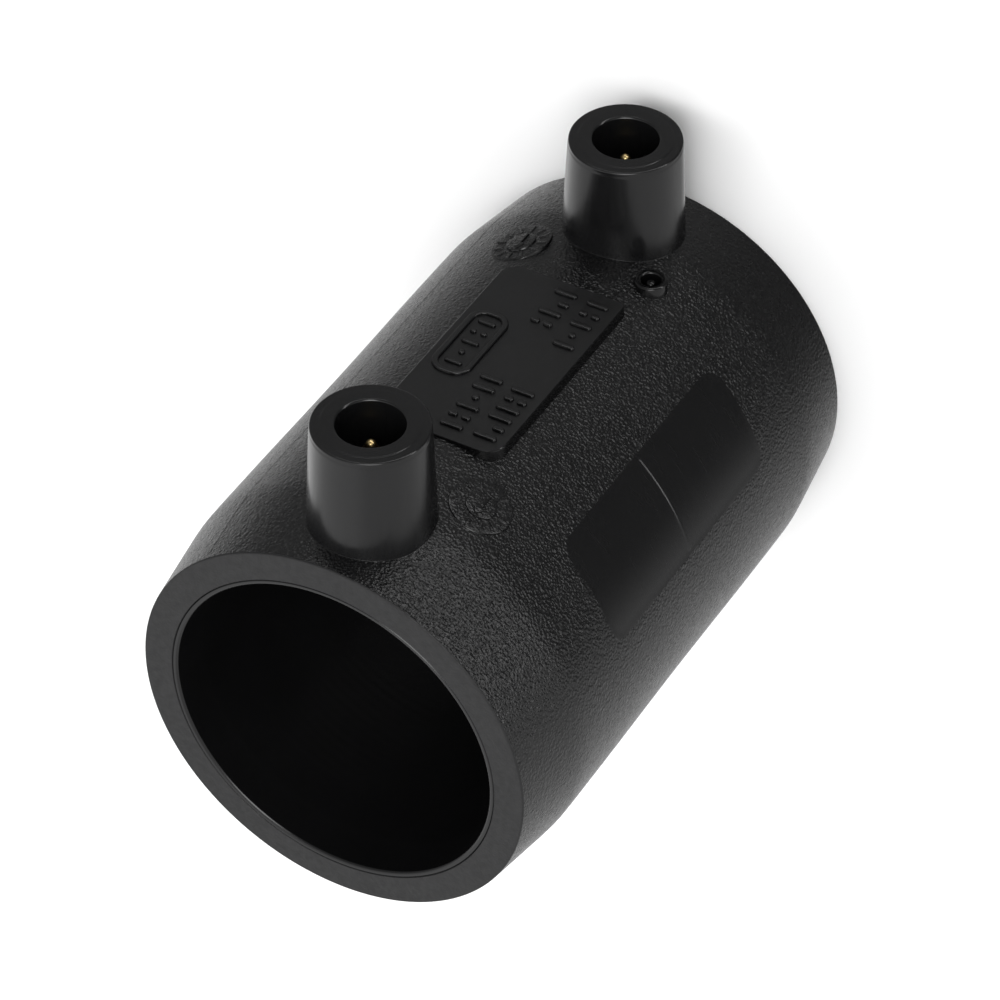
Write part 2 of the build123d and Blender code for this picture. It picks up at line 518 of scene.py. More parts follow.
@dataclass(frozen=True)
class Saddle:
    """Meshes the side of the barrel that carries the terminals, with its holes and low shapes."""

    barrel: Barrel
    reach: float = 81.0  # degrees to each side of +X
    column: float = 1.5  # degrees from one column of the grid to the next
    row: float = 1.0
    room: float = 0.3  # least distance of the grid from an edge
    block: int = 2000  # points that are compared at a time

    def rows(self, edge: float) -> np.ndarray:
        """The heights of the grid's rows."""
        return np.linspace(-edge, edge, round(2 * edge / self.row) + 1)

    def grid(self, edge: float) -> tuple[np.ndarray, np.ndarray]:
        """The grid's points laid flat, and which of them are on its border.

        Args:
            edge: height of the upper and lower border from the middle.

        Returns:
            One row of (arc, z) for each point, and a truth value for each.
        """
        angles = np.arange(-self.reach, self.reach + self.column / 2, self.column)
        heights = self.rows(edge)
        arc = np.radians(angles) * self.barrel.side_r
        flat = np.stack(np.meshgrid(arc, heights, indexing="ij"), axis=-1)
        border = np.zeros(flat.shape[:2], bool)
        border[[0, -1], :] = True
        border[:, [0, -1]] = True
        return flat.reshape(-1, 2), border.reshape(-1)

    def mesh(self, mesher: Mesher, edge: float, shapes: list[Boss | Skin], holes: list[Ring]) -> None:
        """Adds the surface.

        Args:
            mesher: takes the points and faces.
            edge: height of its upper and lower border from the middle.
            shapes: the low shapes, each after the one it stands on.
            holes: the closed rows of points that bound its holes.
        """
        stacks = [shape.rings(self.barrel) for shape in shapes]
        owners = [(stack[0].flat, stack[-1].flat) for stack in stacks]
        rings = [ring for stack in stacks for ring in stack] + holes
        fixed = np.concatenate([ring.flat for ring in rings])
        flat, top = self.free_points(edge, fixed, owners, holes)
        solid = self.barrel.wrap(flat)
        for k, shape in enumerate(shapes):
            solid[top == k] = shape.crown(self.barrel, flat[top == k])
        solid = np.concatenate([solid, *(ring.solid for ring in rings)])
        flat = np.concatenate([flat, fixed])
        triangles = self.triangles(flat, [len(ring.flat) for ring in rings])
        centres = flat[triangles].mean(axis=1)
        gone = np.zeros(len(triangles), bool)
        for hole in holes:
            gone |= inside(hole.flat, centres)
        finish = np.full(len(triangles), Finish.GRAIN.value)
        for shape, (foot, crown) in zip(shapes, owners):
            # Walls of raised shapes take the edge finish: real higher gloss, and a darker colour that is
            # painted shade.
            wall = Finish.EDGE if isinstance(shape, Boss) else shape.finish
            finish[inside(foot, centres)] = wall.value
            finish[inside(crown, centres)] = shape.finish.value
        numbers = mesher.add(solid)
        mesher.faces.extend(tuple(corners) for corners in numbers[triangles[~gone]].tolist())
        mesher.finishes.extend(finish[~gone].tolist())

    def free_points(
        self, edge: float, fixed: np.ndarray, owners: list[tuple[np.ndarray, np.ndarray]], holes: list[Ring]
    ) -> tuple[np.ndarray, np.ndarray]:
        """The points of the grid that stay clear of all edges, walls and holes.

        Args:
            edge: height of the upper and lower border from the middle.
            fixed: the points of every edge, laid flat.
            owners: the flat foot and crown of each low shape.
            holes: the rings that bound the holes.

        Returns:
            The points laid flat, and the number of the shape that each lies on, or -1.
        """
        flat, border = self.grid(edge)
        keep = border | self.clear(flat, fixed)
        top = np.full(len(flat), -1)
        for k, (foot, crown) in enumerate(owners):
            within, above = inside(foot, flat), inside(crown, flat)
            keep &= border | ~(within & ~above)
            top[above] = k
        for hole in holes:
            keep &= border | ~inside(hole.flat, flat)
        return flat[keep], top[keep]

    def triangles(self, flat: np.ndarray, counts: list[int]) -> np.ndarray:
        """Triangles over flat points, with every ring kept as an edge.

        Args:
            flat: all the points, with those of the rings last.
            counts: how many points each ring has.

        Returns:
            Three point numbers for each triangle.
        """
        edges, start = [], len(flat) - sum(counts)
        for count in counts:
            edges.extend((start + i, start + (i + 1) % count) for i in range(count))
            start += count
        found = delaunay_2d_cdt([Vector(point) for point in flat], edges, [], 0, MERGE)
        where = np.array([origin[0] if origin else -1 for origin in found[3]])
        corners = where[np.array([face for face in found[2] if len(face) == 3])]
        return corners[(corners >= 0).all(axis=1)]

    def clear(self, flat: np.ndarray, fixed: np.ndarray) -> np.ndarray:
        """Which grid points keep their distance from every fixed point.

        Args:
            flat: the grid's points laid flat.
            fixed: the points of every edge, laid flat.

        Returns:
            One truth value for each point of the grid.
        """
        gaps = []
        for block in np.array_split(flat, math.ceil(len(flat) / self.block)):
            gaps.append(np.abs(block[:, None, :] - fixed[None, :, :]).max(axis=2).min(axis=1))
        return np.concatenate(gaps) > self.room


@dataclass(frozen=True)
class Terminal:
    """One shrouded terminal, standing along +X at the height z."""

    z: float
    top: float
    columns: int = 96
    land_r: float = 7.1
    fall: float = 0.1  # from the land down to the rim round it
    top_r: float = 8.5
    draft: float = 2.6
    rim_r: float = 8.47
    rim_edge: float = 0.3
    rim_tall: float = 0.75  # from the top down to the small step in the wall
    step_half: float = 0.2
    fillet: float = 0.06
    socket_r: float = 4.9
    bevel: float = 0.22
    rounds: int = 12  # steps that find where the foot touches the barrel
    foot_rows: int = 8
    wall_rows: int = 10

    def circle(self, radius: Value, x: Value) -> np.ndarray:
        """A row of points round the terminal's axis."""
        return hoop(0.0, self.z, radius, x, self.columns)

    def wall(self, x: Value) -> Value:
        """The radius of the tapering wall at a height."""
        return self.top_r + (self.top - x) * math.tan(math.radians(self.draft))

    def foot(self, barrel: Barrel) -> list[np.ndarray]:
        """The rows of points that round the terminal's foot into the barrel.

        Args:
            barrel: the surface that it grows out of.

        Returns:
            The rows, from the barrel up to the wall.
        """
        angle, fillet = full_turn(self.columns), self.fillet
        along, across = np.cos(angle), np.sin(angle)

        def ground(reach: np.ndarray) -> np.ndarray:
            """The barrel's height at a distance from the terminal's axis."""
            return barrel.depth(reach * across, self.z + reach * along)

        nudge = 0.01
        touch = np.full(self.columns, self.wall(barrel.side_r) + fillet)
        for _ in range(self.rounds):
            slope = (ground(touch + nudge) - ground(touch - nudge)) / (2 * nudge)
            norm = np.sqrt(1 + slope**2)
            centre_x = ground(touch) + fillet / norm
            touch = self.wall(centre_x) + fillet + fillet * slope / norm
        centre_r = self.wall(centre_x) + fillet
        start = np.arctan2(-1 / norm, slope / norm)
        rows = []
        for share in np.linspace(0, 1, self.foot_rows):
            bend = start + (-math.pi - start) * share
            rows.append(self.circle(centre_r + fillet * np.cos(bend), centre_x + fillet * np.sin(bend)))
        return rows

    def profile(self) -> list[Pair]:
        """The rim, land, socket and pocket as pairs of radius and height, from the wall inwards.

        Returns:
            The pairs, in order.
        """
        rim, top = self.rim_r, self.top
        ledge = top - self.fall
        step_x = top - self.rim_tall
        foot_x = step_x - 2 * self.step_half
        swell = self.wall(foot_x) - rim
        return [
            (rim + swell, foot_x),
            (rim + 0.85 * swell, step_x - self.step_half),
            (rim + 0.15 * swell, step_x),
            (rim, step_x + self.step_half),
            *quarter(rim, ledge, self.rim_edge, 3),
            # The land, a little higher than the rim round it.
            (self.land_r + 0.12, ledge),
            (self.land_r + 0.05, ledge + 0.02),
            (self.land_r, top - 0.03),
            (self.land_r - 0.06, top),
            # The bevelled mouth of the socket, its wall and its floor.
            (self.socket_r + self.bevel + 0.1, top),
            (self.socket_r + self.bevel, top - 0.02),
            (self.socket_r + 0.04, top - self.bevel),
            (self.socket_r, top - self.bevel - 0.12),
            (self.socket_r, SEAT.root_top + 0.3),
            (self.socket_r - 0.3, SEAT.root_top),
            # The seat of the pin's root, flange and foot.
            (SEAT.root_r, SEAT.root_top),
            (SEAT.root_r, SEAT.flange_top),
            (SEAT.flange_r, SEAT.flange_top),
            (SEAT.flange_r, SEAT.flange_bottom),
            (SEAT.foot_r, SEAT.flange_bottom),
            (SEAT.foot_r, SEAT.foot_x + SEAT.foot_gap),
        ]

    def mesh(self, mesher: Mesher, barrel: Barrel, twin: bool) -> Ring:
        """Adds the terminal and gives the ring where it meets the barrel.

        Args:
            mesher: takes the points and faces.
            barrel: the surface that it grows out of.
            twin: whether it is turned over to the other end.

        Returns:
            The ring.
        """
        rows = self.foot(barrel)
        low = float(rows[-1][:, 0].max())
        high = self.top - self.rim_tall
        heights = np.linspace(low + 2 * self.step_half, high - 4 * self.step_half, self.wall_rows)
        rows.extend(self.circle(self.wall(x), x) for x in heights)
        rows.extend(self.circle(radius, x) for radius, x in self.profile())
        if twin:
            rows = [turned(row) for row in rows]
        mesher.strip(rows, Finish.SHROUD)
        mesher.cap(rows[-1], Finish.SHROUD)
        arc = np.arctan2(rows[0][:, 1], rows[0][:, 0]) * barrel.side_r
        return Ring(rows[0], np.stack([arc, rows[0][:, 2]], axis=1))


@dataclass(frozen=True)
class Gauge:
    """One fusion indicator: a collar on the barrel and a ring-shaped well round a small pin."""

    side: float
    z: float
    top: float = 32.85
    collar_r: float = 2.45
    well_r: float = 1.5
    lip: float = 0.32
    floor: float = 27.1
    pin_r: float = 0.75
    sunk: float = 0.4
    columns: int = 48

    def collar(self) -> Boss:
        """The collar as a low shape."""
        steps = ((-0.05, None), (0.0, self.top - 0.25), (0.1, self.top - 0.08), (0.3, self.top))
        # The whole collar takes the edge finish, whose darker colour is painted shade.
        return Boss(0.0, disc(self.side, self.z, self.collar_r, 0.3), steps, Finish.EDGE)

    def circle(self, radius: float, x: float) -> np.ndarray:
        """A row of points round the well's axis."""
        return hoop(self.side, self.z, radius, x, self.columns)

    def mesh(self, mesher: Mesher, barrel: Barrel) -> Ring:
        """Adds the well and its pin, and gives the ring of the well's mouth.

        Args:
            mesher: takes the points and faces.
            barrel: the surface that it is sunk into.

        Returns:
            The ring of the well's mouth.
        """
        tip = self.top - self.sunk
        profile = [
            (self.well_r + self.lip, self.top),
            (self.well_r + self.lip * 0.45, self.top - 0.05),
            (self.well_r + self.lip * 0.12, self.top - 0.17),
            (self.well_r, self.top - 0.35),
            (self.well_r - 0.05, self.floor + 0.2),
            (self.well_r - 0.2, self.floor),
            (self.pin_r + 0.1, self.floor),
            (self.pin_r, self.floor + 0.15),
            (self.pin_r, tip - 0.5),
            (self.pin_r * 0.93, tip - 0.3),
            (self.pin_r * 0.75, tip - 0.14),
            (self.pin_r * 0.5, tip - 0.04),
            (self.pin_r * 0.2, tip),
        ]
        rows = [self.circle(radius, x) for radius, x in profile]
        # The well and its pin take the edge finish, whose darker colour is painted shade in the recess.
        mesher.strip(rows, Finish.EDGE)
        mesher.cap(rows[-1], Finish.EDGE)
        return Ring(rows[0], barrel.lay(0.0, rows[0][:, 1], rows[0][:, 2]))


class Mark(Enum):
    """The plain raised marks that stand in rows on the plate."""

    BAR = "one full upright bar"
    PAIR = "two short bars, one above the other"
    LOW = "one short bar at the foot of the row"
    DOT = "one round dot in the middle"


@dataclass(frozen=True)
class MarkRow:
    """One row of plain raised marks."""

    side: float
    z_from: float
    z_to: float
    tall: float
    marks: tuple[Mark, ...]
    wide: float = 0.95
    soft: float = 0.4
    gap: float = 0.3  # from the middle to each bar of a pair
    trim: float = 0.06  # how much shorter a pair is than a full bar
    dot_extra: float = 0.12

    def bar(self, side: float, z: float, half: float) -> Outline:
        """The outline of one bar."""
        return Outline(side, z, half, self.wide / 2, (self.soft,) * 4)

    def outlines(self) -> list[Outline]:
        """The outlines of its marks.

        Returns:
            One outline for each bar or dot, from the row's start to its end.
        """
        span = self.z_to - self.z_from - self.wide
        half, reach = self.tall / 2, self.tall / 2 - self.trim
        found = []
        for k, mark in enumerate(self.marks):
            z = self.z_from + self.wide / 2 + span * k / (len(self.marks) - 1)
            if mark is Mark.BAR:
                found.append(self.bar(self.side, z, half))
            elif mark is Mark.PAIR:
                for way in (-1, 1):
                    side = self.side + way * (reach + self.gap) / 2
                    found.append(self.bar(side, z, (reach - self.gap) / 2))
            elif mark is Mark.LOW:
                found.append(self.bar(self.side - half / 2, z, half / 2))
            else:
                found.append(disc(self.side, z, self.wide / 2 + self.dot_extra))
        return found


@dataclass(frozen=True)
class NamePlate:
    """The flat plate between the terminals, with a plain frame and rows of plain marks on it."""

    top: float = 33.5
    half_z: float = 19.4
    half_side: float = 9.85
    soft: float = 3.0
    tight: float = 1.0
    relief: float = 0.42  # how high a mark stands on the plate
    frame_side: float = 5.5
    frame_z: float = -0.4
    frame_wide: float = 0.98
    frame_half: Pair = (3.18, 7.6)
    frame_outer_r: float = 2.6
    frame_inner_r: float = 1.7

    def shapes(self) -> list[Boss]:
        """The plate and all that stands on it.

        Returns:
            The low shapes, each after the one it stands on.
        """
        corners = (self.tight, self.soft, self.tight, self.soft)
        outline = Outline(0.0, 0.0, self.half_side, self.half_z, corners, 0.45)
        steps = ((-0.08, None), (0.0, self.top - 0.22), (0.03, self.top - 0.06), (0.1, self.top))
        found = [Boss(0.0, outline, steps, Finish.PLATE)]
        side, z, wide = self.frame_side, self.frame_z, self.frame_wide
        half_side, half_z = self.frame_half
        outer, inner = (self.frame_outer_r,) * 4, (self.frame_inner_r,) * 4
        found.append(self.raised(Outline(side, z, half_side, half_z, outer)))
        found.append(self.sunk(Outline(side, z, half_side - wide, half_z - wide, inner)))
        rows = (
            MarkRow(side, -5.7, 4.9, 2.9, (Mark.BAR, Mark.PAIR, Mark.BAR, Mark.DOT, Mark.BAR), 0.8),
            MarkRow(-6.5, 5.0, 16.9, 3.8, (Mark.BAR, Mark.PAIR, Mark.BAR, Mark.BAR, Mark.LOW, Mark.BAR)),
            MarkRow(-1.2, 4.7, 17.1, 3.7, (Mark.BAR, Mark.BAR, Mark.DOT, Mark.BAR, Mark.PAIR, Mark.BAR)),
            MarkRow(-1.2, -17.3, -9.0, 3.7, (Mark.BAR, Mark.LOW, Mark.BAR, Mark.PAIR)),
            MarkRow(-6.5, -17.2, -6.0, 3.5, (Mark.BAR, Mark.PAIR, Mark.BAR, Mark.DOT, Mark.BAR)),
        )
        for row in rows:
            found.extend(self.raised(outline) for outline in row.outlines())
        return found

    def raised(self, outline: Outline) -> Boss:
        """A raised mark with a rounded edge."""
        return Boss(0.0, outline, self.rise(), Finish.PLATE)

    def sunk(self, outline: Outline) -> Boss:
        """The floor inside a raised frame."""
        steps = tuple((-inset, level) for inset, level in reversed(self.rise()))
        return Boss(0.0, outline, steps, Finish.PLATE)

    def rise(self) -> tuple[Pair, ...]:
        """The steps from the plate up to the top of a mark."""
        high = self.top + self.relief
        return ((0.0, self.top), (0.04, high - 0.1), (0.09, high - 0.03), (0.17, high))


@dataclass(frozen=True)
class Dial:
    """One date mark: a flat round pad with a raised hub, an arrow on it and bars round it."""

    turn: float
    z: float
    face: float = 33.22
    pad_r: float = 4.8
    hub_r: float = 2.35
    hub_tall: float = 0.22
    arrow_tall: float = 0.24
    bar_tall: float = 0.12
    bars_r: float = 3.55
    bar_half: Pair = (0.8, 0.26)
    bar_soft: float = 0.18
    bars: int = 12

    def shapes(self) -> list[Boss]:
        """The pad and all that stands on it.

        Returns:
            The low shapes, each after the one it stands on.
        """
        face, hub = self.face, self.face + self.hub_tall
        arrow, bar = hub + self.arrow_tall, face + self.bar_tall
        found = [
            self.boss(disc(0.0, self.z, self.pad_r), (0.0, None), (0.05, face - 0.04), (0.12, face)),
            self.boss(disc(0.0, self.z, self.hub_r), (0.0, face), (0.06, hub - 0.05), (0.16, hub)),
            self.boss(Arrow(0.0, self.z), (0.0, hub), (0.06, arrow - 0.04), (0.14, arrow)),
        ]
        for k in range(self.bars):
            lean = 360 * k / self.bars
            side = self.bars_r * math.cos(math.radians(lean))
            z = self.z + self.bars_r * math.sin(math.radians(lean))
            outline = Outline(side, z, *self.bar_half, (self.bar_soft,) * 4, 0.25, lean)
            found.append(self.boss(outline, (0.0, face), (0.05, bar - 0.03), (0.1, bar)))
        return found

    def boss(self, outline: Outline | Arrow, *steps: tuple[float, float | None]) -> Boss:
        """One of its low shapes."""
        return Boss(self.turn, outline, steps, Finish.GRAIN)


@dataclass
class Body:
    """The outer moulding as one closed mesh."""

    side_r: float
    half: float
    terminal_top: float
    bore_r: float = 26.5
    terminal_inset: float = 12.3
    rim: float = 0.28
    groove: float = 0.13
    seam_turn: float = 40.0
    seam_half: float = 0.13
    seam_end: float = 1.2
    seam_lift: float = 0.025
    seam_edge: float = 0.1
    dial_turn: float = 21.0
    gauge_side: float = 9.85
    mark_z: float = 26.9
    liner_gap: float = 0.3
    face_rows: int = 6

    def shapes(self) -> list[Boss | Skin]:
        """Every low shape on the barrel, each after the one it stands on.

        Returns:
            The fields, lines, plate, dials and collars.
        """
        found: list[Boss | Skin] = [
            self.patch((-73.0, -42.0), (-22.75, 22.75), lift=-0.06, edge=0.5, soft=3.0),
            self.patch((57.5, 73.0), (-31.5, 20.5), lift=-0.3, edge=0.2, soft=3.0),
            self.patch((-72.0, -43.5), (-0.09, 0.09), lift=-0.03, edge=0.06, soft=0.08, base=-0.06),
        ]
        for way in (-1, 1):
            line = math.radians(self.seam_turn) * self.side_r
            seam = Outline(way * line, 0.0, self.seam_half, self.half - self.seam_end, (0.1,) * 4, 0.5)
            found.append(Skin(seam, self.seam_lift, self.seam_edge, Finish.GRAIN))
        found.extend(NamePlate().shapes())
        for way in (-1, 1):
            found.extend(Dial(-way * self.dial_turn, way * self.mark_z).shapes())
        found.extend(gauge.collar() for gauge in self.gauges())
        return found

    def patch(
        self,
        turns: Pair,
        heights: Pair,
        lift: float,
        edge: float,
        soft: float,
        base: float = 0.0,
    ) -> Skin:
        """A smooth field or a scratch between two angles round the bore and two heights.

        Args:
            turns: the angles that it lies between.
            heights: the heights that it lies between.
            lift: how far it lies above the barrel, below zero where it is sunk.
            edge: how wide its sloping edge is.
            soft: the radius of its corners.
            base: how far the ground round it lies above the barrel.

        Returns:
            The patch.
        """
        (start, end), (low, high) = turns, heights
        arc = math.radians(start + end) / 2 * self.side_r
        wide = math.radians(end - start) / 2 * self.side_r
        outline = Outline(arc, (low + high) / 2, wide, (high - low) / 2, (soft,) * 4, 0.5)
        return Skin(outline, lift, edge, Finish.WINDOW, base)

    def gauges(self) -> list[Gauge]:
        """Both fusion indicators."""
        return [Gauge(way * self.gauge_side, way * self.mark_z) for way in (-1, 1)]

    def mesh(self) -> Mesher:
        """Builds the whole moulding.

        Returns:
            The mesh, not yet an object.
        """
        mesher = Mesher()
        barrel = Barrel(self.side_r, self.half)
        saddle = Saddle(barrel)
        edge = self.half - self.rim
        lower = Terminal(self.terminal_inset - self.half, self.terminal_top)
        holes = [lower.mesh(mesher, barrel, twin) for twin in (False, True)]
        holes.extend(gauge.mesh(mesher, barrel) for gauge in self.gauges())
        saddle.mesh(mesher, edge, self.shapes(), holes)
        self.back(mesher, saddle, edge)
        self.ends(mesher, saddle, edge)
        return mesher

    def back(self, mesher: Mesher, saddle: Saddle, edge: float) -> None:
        """Adds the plain side away from the terminals.

        Args:
            mesher: takes the points and faces.
            saddle: the side that carries the terminals, whose grid goes on here.
            edge: height of the upper and lower border from the middle.
        """
        angles = np.arange(saddle.reach, 360 - saddle.reach + saddle.column / 2, saddle.column)
        heights = saddle.rows(edge)
        radius = saddle.barrel.radius(heights)
        rows = [polar(radius, angle, heights) for angle in np.radians(angles)]
        mesher.strip(rows, Finish.GRAIN, closed=False)

    def ends(self, mesher: Mesher, saddle: Saddle, edge: float) -> None:
        """Adds both end faces with their rounded rims, and the surface round the liner.

        Args:
            mesher: takes the points and faces.
            saddle: the side that carries the terminals, whose columns it shares.
            edge: height where the rounded rims start.
        """
        angles = np.radians(np.arange(0, 360, saddle.column))
        side = float(saddle.barrel.radius(np.array(edge)))
        inner, inner_z = self.bore_r + self.groove, self.half - self.liner_gap
        rim = quarter(side, self.half, self.rim, 4)
        face = [(float(radius), self.half) for radius in np.linspace(rim[-1][0], inner, self.face_rows + 1)]
        groove = [face[-1], (self.bore_r + 0.02, self.half - self.groove), (self.bore_r, inner_z)]
        for way in (-1, 1):
            for profile in (rim, face, groove):
                mesher.strip([polar(radius, angles, way * z) for radius, z in profile], Finish.END)
        mesher.strip([polar(self.bore_r, angles, way * inner_z) for way in (1, -1)], Finish.GRAIN)


@dataclass
class Liner:
    """The thin sleeve of the bore, with the turns beneath it showing as faint rings."""

    half: float
    outer_r: float = 26.49
    bore_r: float = 25.35
    mouth_r: float = 25.65
    bevel: float = 0.3
    groove: float = 0.13
    step_z: float = 42.8
    recess_r: float = 25.83
    recess_in: float = 13.25
    recess_out: float = 37.6
    pitch_rows: int = 7  # rows of points to one turn of the wire
    plain_z: Triple = (10.0, 40.0, 42.5)  # heights of the rows where nothing is wound
    shy: float = 0.02  # how far its mouth stays behind the end faces
    band: float = 0.4
    ridge: float = 0.011
    fade: float = 1.2  # length in which the ridges rise and fade
    columns: int = 192

    def ring(self, radius: Value, z: float) -> np.ndarray:
        """A row of points round the bore."""
        return polar(radius, full_turn(self.columns), z)

    def bore(self) -> list[np.ndarray]:
        """The rows of the bore between the lead-ins.

        Returns:
            The rows, from the lower end to the upper.
        """
        angle = full_turn(self.columns)
        fine = np.arange(-self.recess_out, self.recess_out, PITCH / self.pitch_rows)
        fine = fine[np.abs(fine) > self.recess_in]
        plain = np.array([*np.outer((-1, 1), self.plain_z).ravel(), 0.0])
        rows = []
        for z in np.sort(np.concatenate([fine, plain])):
            inner, outer = abs(z) - self.recess_in, self.recess_out - abs(z)
            fade = np.clip(min(inner, outer) / self.fade, 0, 1)
            wave = np.cos(2 * math.pi * z / PITCH - angle)
            uneven = 1 + 0.5 * np.sin(3 * angle + 0.7 * z) * np.cos(2 * angle - 0.31 * z)
            rows.append(self.ring(self.bore_r + self.ridge * fade * wave * uneven, float(z)))
        return rows

    def mesh(self) -> Mesher:
        """Builds the sleeve as one closed mesh.

        Returns:
            The mesh, not yet an object.
        """
        half, out = self.half, self.outer_r
        mouth = [
            (out, half - self.band),
            (out - 0.01, half - self.groove),
            (out - self.groove, half - self.shy),
            (self.mouth_r + self.bevel + 0.08, half - self.shy),
            (self.mouth_r + self.bevel, half - 0.04),
            (self.mouth_r + 0.06, half - self.bevel + 0.04),
            (self.mouth_r, half - self.bevel - 0.1),
            (self.bore_r + 0.12, self.step_z + 1.4),
            (self.bore_r + 0.08, self.step_z + 0.7),
            (self.bore_r + 0.01, self.step_z),
        ]
        outer = [
            (out, self.band - half),
            (out, -self.recess_out),
            (self.recess_r, -self.recess_out),
            (self.recess_r, -self.recess_in),
            (out, -self.recess_in),
            (out, self.recess_in),
            (self.recess_r, self.recess_in),
            (self.recess_r, self.recess_out),
            (out, self.recess_out),
            (out, half - self.band),
        ]
        rows = [self.ring(radius, z) for radius, z in outer]
        rows.extend(self.ring(radius, z) for radius, z in mouth[1:])
        rows.extend(reversed(self.bore()))
        rows.extend(self.ring(radius, -z) for radius, z in reversed(mouth))
        mesher = Mesher()
        mesher.strip(rows)
        return mesher


@dataclass
class ContactPin:
    """One contact pin, turned from brass, in the terminal at the height z."""

    z: float
    tip: float
    shank_r: float = 2.0
    nose_r: float = 0.8
    bevel: float = 0.1
    columns: int = 64

    def profile(self) -> list[Pair]:
        """Pairs of radius and height, from the foot to the tip.

        Returns:
            The pairs, in order.
        """
        shank, nose = self.shank_r, self.nose_r
        dome = self.tip - nose
        return [
            (POINT, SEAT.foot_x),
            (SEAT.foot_r, SEAT.foot_x),
            (SEAT.foot_r, SEAT.flange_bottom),
            (SEAT.flange_r - self.bevel, SEAT.flange_bottom),
            (SEAT.flange_r, SEAT.flange_bottom + self.bevel),
            (SEAT.flange_r, SEAT.flange_top - self.bevel),
            (SEAT.flange_r - self.bevel, SEAT.flange_top),
            (SEAT.root_r, SEAT.flange_top),
            (SEAT.root_r, SEAT.root_top - self.bevel),
            (SEAT.root_r - self.bevel, SEAT.root_top),
            (shank + self.bevel / 2, SEAT.root_top),
            (shank, SEAT.root_top + self.bevel),
            # The shank's end, a cone and a round nose.
            (shank, dome - 1.8),
            (shank - 0.12, dome - 1.62),
            (nose + 0.1, dome - 0.42),
            *quarter(nose, self.tip, nose, 9)[:-1],
            (POINT, self.tip),
        ]

    def mesh(self) -> Mesher:
        """Builds the pin as one closed mesh.

        Returns:
            The mesh, not yet an object.
        """
        mesher = Mesher()
        mesher.rod([hoop(0.0, self.z, radius, x, self.columns) for radius, x in self.profile()])
        return mesher


@dataclass
class HeatingCoil:
    """The wire beneath the liner: two windings and the straight run between them."""

    inner_r: float = 25.84
    outer_r: float = 26.48
    wide: float = 0.8
    turns: int = 13
    start: float = 14.145
    steps: int = 72  # points to one turn
    run_points: int = 12  # points on the straight run, with both its ends

    def path(self) -> tuple[np.ndarray, np.ndarray]:
        """The angle and height of the wire's middle, from the lower end to the upper.

        Returns:
            The angles in radians and the heights.
        """
        count = self.turns * self.steps
        angle = np.linspace(0, 2 * math.pi * self.turns, count + 1)
        height = self.start + PITCH * angle / (2 * math.pi)
        run = np.linspace(-self.start, self.start, self.run_points)[1:-1]
        angles = np.concatenate([-angle[::-1], np.zeros(len(run)), angle])
        heights = np.concatenate([-height[::-1], run, height])
        return angles, heights

    def mesh(self) -> Mesher:
        """Builds the wire as one closed mesh.

        Returns:
            The mesh, not yet an object.
        """
        angle, height = self.path()
        step_z = np.gradient(height)
        step_arc = np.gradient(angle) * self.inner_r
        norm = np.hypot(step_z, step_arc)
        across_z, across_arc = step_arc / norm, -step_z / norm
        corners = []
        for radius, way in ((self.inner_r, -1), (self.outer_r, -1), (self.outer_r, 1), (self.inner_r, 1)):
            reach = way * self.wide / 2
            corners.append(polar(radius, angle + reach * across_arc / radius, height + reach * across_z))
        mesher = Mesher()
        mesher.rod(list(np.stack(corners, axis=1)))
        return mesher


